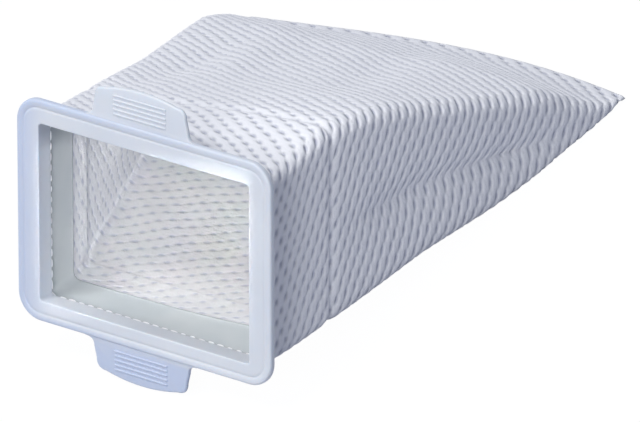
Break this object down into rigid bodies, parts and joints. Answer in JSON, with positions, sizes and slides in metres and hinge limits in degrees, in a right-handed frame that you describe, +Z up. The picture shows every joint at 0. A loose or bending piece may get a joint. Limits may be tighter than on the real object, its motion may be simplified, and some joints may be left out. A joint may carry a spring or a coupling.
{
  "type": "vacuum dust bag",
  "caption": "Embossed cloth dust pouch, sealed flat at its far end, welded to a rectangular moulded mouth frame with ribbed finger tabs.",
  "frame": {"origin": "centre of the resting part's box, on the surface it lies on", "axes": "+Z up, the mouth faces -Y and a little upward, the sealed end lies towards +Y"},
  "size_m": [0.1372, 0.1554, 0.087],
  "materials": {
    "frame_plastic": "milky satin",
    "embossed_cloth": "matt embossed nonwoven",
    "liner_film": "smooth satin"
  },
  "bodies": {
    "root": {"mouth_frame": "frame_plastic", "cloth_bag": "embossed_cloth", "mouth_liner": "liner_film"}
  },
  "joints": []
}
